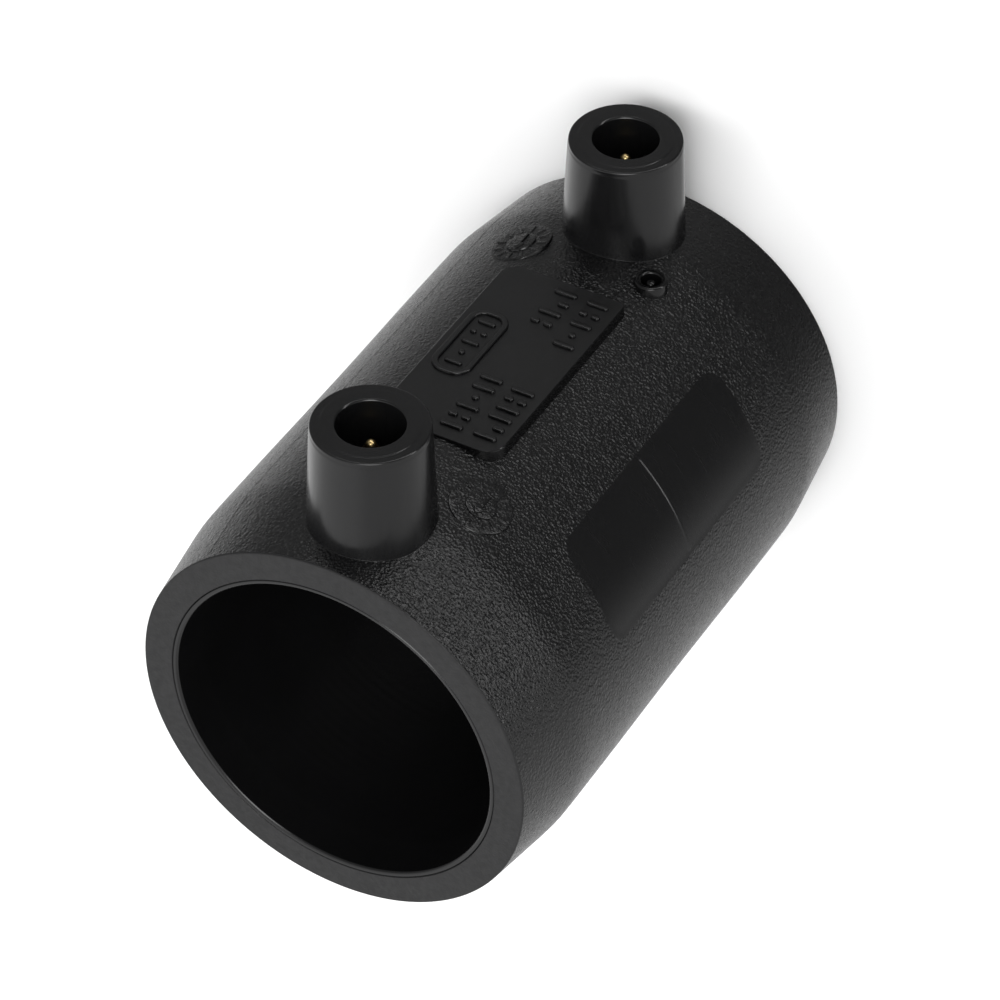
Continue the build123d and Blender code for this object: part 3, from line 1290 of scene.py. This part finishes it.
class Nodes:
    """Lays out one material's nodes."""

    def __init__(self, name: str) -> None:
        """Starts a material with its two fixed nodes.

        Args:
            name: the material's name.
        """
        self.material = bpy.data.materials.new(name)
        self.material.use_nodes = True
        self.tree = self.material.node_tree
        self.shader = self.tree.nodes["Principled BSDF"]
        self.where = self.add("ShaderNodeTexCoord").outputs["Object"]

    def add(self, kind: str, **settings: object) -> bpy.types.Node:
        """Adds a node and sets its properties.

        Args:
            kind: Blender's name for the kind of node.
            settings: its properties by name.

        Returns:
            The new node.
        """
        node = self.tree.nodes.new(kind)
        for key, value in settings.items():
            setattr(node, key, value)
        return node

    def link(self, start: Socket, end: Socket) -> None:
        """Joins two sockets."""
        self.tree.links.new(start, end)

    def noise(self, size: float, detail: float = 2.0, stretch: Triple = (1, 1, 1)) -> Socket:
        """A noise pattern whose features are about size millimetres across.

        Args:
            size: the size of a feature in millimetres.
            detail: how many finer layers it has.
            stretch: how much the pattern is squeezed along each axis.

        Returns:
            The pattern, about 0 to 1.
        """
        mapping = self.add("ShaderNodeMapping")
        mapping.inputs["Scale"].default_value = stretch
        self.link(self.where, mapping.inputs["Vector"])
        node = self.add("ShaderNodeTexNoise")
        node.inputs["Scale"].default_value = 1 / (size * MM)
        node.inputs["Detail"].default_value = detail
        self.link(mapping.outputs["Vector"], node.inputs["Vector"])
        return node.outputs["Fac"]

    def cells(self, size: float, smooth: float) -> Socket:
        """Rounded cells about size millimetres across.

        Args:
            size: the size of a cell in millimetres.
            smooth: how far the cells melt into each other.

        Returns:
            The distance from the nearest cell's middle.
        """
        node = self.add("ShaderNodeTexVoronoi", feature="SMOOTH_F1")
        node.inputs["Scale"].default_value = 1 / (size * MM)
        node.inputs["Smoothness"].default_value = smooth
        self.link(self.where, node.inputs["Vector"])
        return node.outputs["Distance"]

    def spread(self, fac: Socket, to: Pair, part: Pair = (0.0, 1.0)) -> Socket:
        """Maps a pattern onto a range.

        Args:
            fac: the pattern.
            to: the values that it goes between.
            part: the part of the pattern's own range that is used.

        Returns:
            The pattern in its new range.
        """
        node = self.add("ShaderNodeMapRange")
        for key, (low, high) in (("From", part), ("To", to)):
            node.inputs[f"{key} Min"].default_value = low
            node.inputs[f"{key} Max"].default_value = high
        self.link(fac, node.inputs["Value"])
        return node.outputs["Result"]

    def bump(self, height: Socket, depth: float, before: Socket | None = None) -> Socket:
        """A bump of depth millimetres, laid over another one if there is one.

        Args:
            height: the pattern that gives the height.
            depth: how high its highest point stands, in millimetres.
            before: the bump that it is laid over.

        Returns:
            The bent surface direction.
        """
        node = self.add("ShaderNodeBump")
        node.inputs["Strength"].default_value = 1.0
        node.inputs["Distance"].default_value = depth * MM
        self.link(height, node.inputs["Height"])
        if before is not None:
            self.link(before, node.inputs["Normal"])
        return node.outputs["Normal"]


@dataclass(frozen=True)
class BlackPlastic:
    """Black polyethylene as it leaves the mould.

    Sizes and depths of the grain and of the fine texture over it are millimetres, and the gloss is
    the range of its roughness. A streak stretches the fine texture and the gloss along an axis.
    """

    name: str
    shade: float
    gloss: Pair
    grain_size: float
    grain_depth: float
    fine_size: float
    fine_depth: float
    streak: Triple = (1, 1, 1)
    cloud_size: float = 9.0
    patch_size: float = 0.9
    patch_part: Pair = (0.3, 0.7)

    def build(self) -> bpy.types.Material:
        """Makes the material.

        Returns:
            The new material.
        """
        nodes = Nodes(self.name)
        shader = nodes.shader
        cloud = nodes.noise(self.cloud_size, 3.0)
        tint = nodes.add("ShaderNodeMix", data_type="RGBA")
        dark, light = self.shade * 0.8, self.shade * 1.25
        tint.inputs["A"].default_value = (dark, dark, dark * 1.04, 1)
        tint.inputs["B"].default_value = (light, light, light * 1.06, 1)
        nodes.link(cloud, tint.inputs["Factor"])
        nodes.link(tint.outputs["Result"], shader.inputs["Base Color"])
        patches = nodes.noise(self.patch_size, 3.0, self.streak)
        nodes.link(nodes.spread(patches, self.gloss, self.patch_part), shader.inputs["Roughness"])
        shader.inputs["Specular IOR Level"].default_value = 0.5
        normal = nodes.bump(nodes.cells(self.grain_size, 0.3), self.grain_depth)
        normal = nodes.bump(nodes.noise(self.grain_size * 1.3, 2.0), self.grain_depth, normal)
        normal = nodes.bump(nodes.noise(self.fine_size, 3.0, self.streak), self.fine_depth, normal)
        nodes.link(normal, shader.inputs["Normal"])
        return nodes.material


@dataclass(frozen=True)
class TurnedMetal:
    """A turned or drawn metal with fine lines, whose colour is dulled in patches."""

    name: str
    colour: Triple
    dull: Triple
    gloss: Pair
    dull_size: float = 0.7
    dull_part: Pair = (0.35, 0.75)
    patch_size: float = 0.4
    line_size: float = 0.12
    line_depth: float = 0.004

    def build(self) -> bpy.types.Material:
        """Makes the material.

        Returns:
            The new material.
        """
        nodes = Nodes(self.name)
        shader = nodes.shader
        tint = nodes.add("ShaderNodeMix", data_type="RGBA")
        tint.inputs["A"].default_value = (*self.colour, 1)
        tint.inputs["B"].default_value = (*self.dull, 1)
        dulled = nodes.spread(nodes.noise(self.dull_size, 3.0), (0, 1), self.dull_part)
        nodes.link(dulled, tint.inputs["Factor"])
        nodes.link(tint.outputs["Result"], shader.inputs["Base Color"])
        shader.inputs["Metallic"].default_value = 1.0
        nodes.link(nodes.spread(nodes.noise(self.patch_size), self.gloss), shader.inputs["Roughness"])
        lines = nodes.noise(self.line_size, 1.0, (6, 1, 1))
        nodes.link(nodes.bump(lines, self.line_depth), shader.inputs["Normal"])
        return nodes.material


GRAINED = BlackPlastic("grained_polyethylene", 0.0045, (0.19, 0.31), 0.42, 0.085, 0.16, 0.012)
PLATE = BlackPlastic("plate_polyethylene", 0.0055, (0.32, 0.44), 1.6, 0.008, 0.2, 0.004)
WINDOW = BlackPlastic("window_polyethylene", 0.0045, (0.16, 0.28), 2.5, 0.003, 0.3, 0.0012, (0.12, 0.12, 3))
SHROUD = BlackPlastic("shroud_polyethylene", 0.005, (0.17, 0.25), 1.6, 0.003, 0.4, 0.002, (0.08, 1, 1))
END = BlackPlastic("end_face_polyethylene", 0.008, (0.46, 0.6), 0.3, 0.02, 0.12, 0.01)
LINER = BlackPlastic("liner_polyethylene", 0.005, (0.16, 0.26), 2.0, 0.002, 0.3, 0.0008)
# The edge finish is glossier than the plate, which is real. Its darker base colour is painted shade on the
# walls of raised shapes, the collars and the indicator wells.
EDGE = BlackPlastic("edge_polyethylene", 0.003, (0.13, 0.2), 1.2, 0.003, 0.2, 0.001)
BRASS = TurnedMetal("contact_brass", (0.93, 0.72, 0.36), (0.7, 0.5, 0.22), (0.22, 0.38))
WIRE = TurnedMetal("resistance_wire", (0.62, 0.55, 0.45), (0.45, 0.4, 0.33), (0.25, 0.45))


class Room:
    """The nodes that give each direction round the fitting its brightness."""

    def __init__(self) -> None:
        """Starts the scene's world."""
        world = bpy.data.worlds.new("room")
        world.use_nodes = True
        bpy.context.scene.world = world
        self.tree = world.node_tree
        self.where = self.tree.nodes.new("ShaderNodeTexCoord").outputs["Generated"]

    def along(self, axis: Vector) -> Socket:
        """How far a direction goes along an axis.

        Args:
            axis: the axis, of any length.

        Returns:
            The cosine of the angle between both.
        """
        dot = self.tree.nodes.new("ShaderNodeVectorMath")
        dot.operation = "DOT_PRODUCT"
        dot.inputs[1].default_value = axis.normalized()
        self.tree.links.new(self.where, dot.inputs[0])
        return dot.outputs["Value"]

    def step(self, value: Socket, part: Pair) -> Socket:
        """Rises smoothly from 0 to 1.

        Args:
            value: what it follows.
            part: where it starts to rise and where it has risen.

        Returns:
            The share, 0 to 1.
        """
        ramp = self.tree.nodes.new("ShaderNodeMapRange")
        ramp.interpolation_type = "SMOOTHSTEP"
        for key, limit in zip(("From Min", "From Max"), part):
            ramp.inputs[key].default_value = limit
        self.tree.links.new(value, ramp.inputs["Value"])
        return ramp.outputs["Result"]

    def mix(self, share: Socket, low: Socket | float, high: Socket | float) -> Socket:
        """Goes from one brightness to another.

        Args:
            share: how far to go from low to high.
            low: the brightness at 0.
            high: the brightness at 1.

        Returns:
            The brightness.
        """
        node = self.tree.nodes.new("ShaderNodeMix")
        self.tree.links.new(share, node.inputs["Factor"])
        for key, value in (("A", low), ("B", high)):
            if isinstance(value, float):
                node.inputs[key].default_value = value
            else:
                self.tree.links.new(value, node.inputs[key])
        return node.outputs["Result"]

    def finish(self, brightness: Socket) -> None:
        """Gives the world its brightness, in plain white.

        Args:
            brightness: the brightness of each direction.
        """
        background = self.tree.nodes["Background"]
        background.inputs["Color"].default_value = (1, 1, 1, 1)
        self.tree.links.new(brightness, background.inputs["Strength"])


@dataclass(frozen=True)
class Studio:
    """The camera, the floor and the light."""

    eye: Triple = (487.903, -262.656, 469.1)
    right: Triple = (0.0045, -0.87039, -0.49234)
    up: Triple = (0.74457, 0.33158, -0.57937)
    lens: float = 176.36
    sensor: float = 36.0
    floor_z: float = -49.0
    floor_half: float = 3000.0
    floor_shade: float = 0.9
    # Brightness of the walls, the ceiling and the lights that the gloss shows.
    left_wall: float = 0.86
    right_wall: float = 0.65
    back_left: float = 1.2
    back_wall: float = 0.82
    ceiling: float = 0.24
    corner: float = 0.11
    strip: float = 5.0
    softbox: float = 5.0
    # Where each of them starts and ends, as cosines of the angle from its axis.
    left_part: Pair = (-0.45, 0.0)
    corner_part: Pair = (0.3, 0.85)
    sky_part: Pair = (-0.25, 0.15)
    back_left_part: Pair = (-0.5, -0.25)
    back_part: Pair = (0.6, 1.0)
    back_right: float = 0.25
    back_up: float = 0.05
    softbox_part: Pair = (0.93, 0.985)
    softbox_drop: float = 0.12
    strip_way: Triple = (0.87, -0.5, 0.0)
    strip_side_part: Pair = (0.45, 0.6)
    strip_foot: Pair = (-0.38, -0.34)
    strip_top: Pair = (-0.27, -0.23)
    overhead: float = 14.0
    overhead_at: Triple = (100.0, 0.0, 1200.0)
    overhead_wide: float = 1600.0

    def camera(self) -> None:
        """Adds the camera."""
        data = bpy.data.cameras.new("camera")
        data.lens = self.lens
        data.sensor_width = self.sensor
        camera = bpy.data.objects.new("camera", data)
        right = Vector(self.right).normalized()
        back = right.cross(Vector(self.up)).normalized()
        up = back.cross(right)
        turn = Matrix((right, up, back)).transposed().to_4x4()
        camera.matrix_world = Matrix.Translation(Vector(self.eye) * MM) @ turn
        bpy.context.scene.collection.objects.link(camera)
        bpy.context.scene.camera = camera

    def floor(self) -> None:
        """Adds a wide pale floor, which the glossy surfaces see past."""
        mesh = bpy.data.meshes.new("floor")
        wide = self.floor_half * MM
        corners = [(-wide, -wide, 0), (wide, -wide, 0), (wide, wide, 0), (-wide, wide, 0)]
        mesh.from_pydata(corners, [], [(0, 1, 2, 3)])
        nodes = Nodes("floor_paint")
        shade = self.floor_shade
        nodes.shader.inputs["Base Color"].default_value = (shade, shade, shade, 1)
        nodes.shader.inputs["Roughness"].default_value = 0.9
        nodes.shader.inputs["Specular IOR Level"].default_value = 0.1
        mesh.materials.append(nodes.material)
        floor = bpy.data.objects.new("floor", mesh)
        floor.location.z = self.floor_z * MM
        floor.visible_glossy = False
        bpy.context.scene.collection.objects.link(floor)

    def surroundings(self) -> None:
        """Lights the room: pale below and behind, grey above, with a softbox by the eye and a low strip."""
        room = Room()
        right, up = Vector(self.right), Vector(self.up)
        back = right.cross(up)
        across, upwards = room.along(right), room.along(up)
        below = room.mix(room.step(across, self.left_part), self.left_wall, self.right_wall)
        above = room.mix(room.step(across, self.corner_part), self.ceiling, self.corner)
        sky = room.mix(room.step(upwards, self.sky_part), below, above)
        wall = room.mix(room.step(across, self.back_left_part), self.back_left, self.back_wall)
        behind = room.along(-back - self.back_right * right - self.back_up * up)
        light = room.mix(room.step(behind, self.back_part), sky, wall)
        eye = room.along(back - self.softbox_drop * up)
        light = room.mix(room.step(eye, self.softbox_part), light, self.softbox)
        beside = room.step(room.along(Vector(self.strip_way)), self.strip_side_part)
        lit = room.mix(beside, light, self.strip)
        level = room.along(Vector((0, 0, 1)))
        capped = room.mix(room.step(level, self.strip_top), lit, light)
        room.finish(room.mix(room.step(level, self.strip_foot), light, capped))

    def floor_light(self) -> None:
        """Adds a wide soft light overhead that brightens the floor and shows in no gloss."""
        data = bpy.data.lights.new("overhead", "AREA")
        data.shape = "DISK"
        data.size = self.overhead_wide * MM
        data.energy = self.overhead
        lamp = bpy.data.objects.new("overhead", data)
        lamp.location = Vector(self.overhead_at) * MM
        lamp.visible_glossy = False
        bpy.context.scene.collection.objects.link(lamp)

    def build(self) -> None:
        """Sets up the whole studio."""
        self.camera()
        self.floor()
        self.surroundings()
        self.floor_light()
        bpy.context.scene.view_settings.view_transform = "Standard"


def dress(piece: bpy.types.Object, slot: str, *nodes: str) -> None:
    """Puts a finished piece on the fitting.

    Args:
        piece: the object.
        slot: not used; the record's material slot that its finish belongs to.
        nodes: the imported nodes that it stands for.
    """
    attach(piece, "root")
    if nodes:
        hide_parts(*nodes)


def main() -> None:
    """Builds the coupler and the studio round it."""
    logging.basicConfig(level=logging.INFO, format="%(name)s: %(message)s")
    low, high = node_box("coupler_body")
    half, side_r, top = float(high[2]), float(high[1]), float(high[0])
    body = Body(-float(low[0]), half, top)
    skins = [finish.build() for finish in (GRAINED, PLATE, WINDOW, SHROUD, END, EDGE)]
    dress(body.mesh().build("moulded_body", skins), "body_plastic", "coupler_body")
    liner = Liner(half)
    dress(liner.mesh().build("bore_sleeve", [LINER.build()]), "liner_plastic", "winding_liner")
    dress(HeatingCoil().mesh().build("wound_wire", [WIRE.build()]), "coil_wire", "heating_coil")
    brass = BRASS.build()
    for name in ("lower", "upper"):
        node = f"{name}_contact_pin"
        pin_low, pin_high = node_box(node)
        pin = ContactPin(float(pin_low[2] + pin_high[2]) / 2, float(pin_high[0]))
        dress(pin.mesh().build(f"{name}_pin", [brass]), "contact_brass", node)
    Studio().build()


if __name__ == "__main__":
    main()
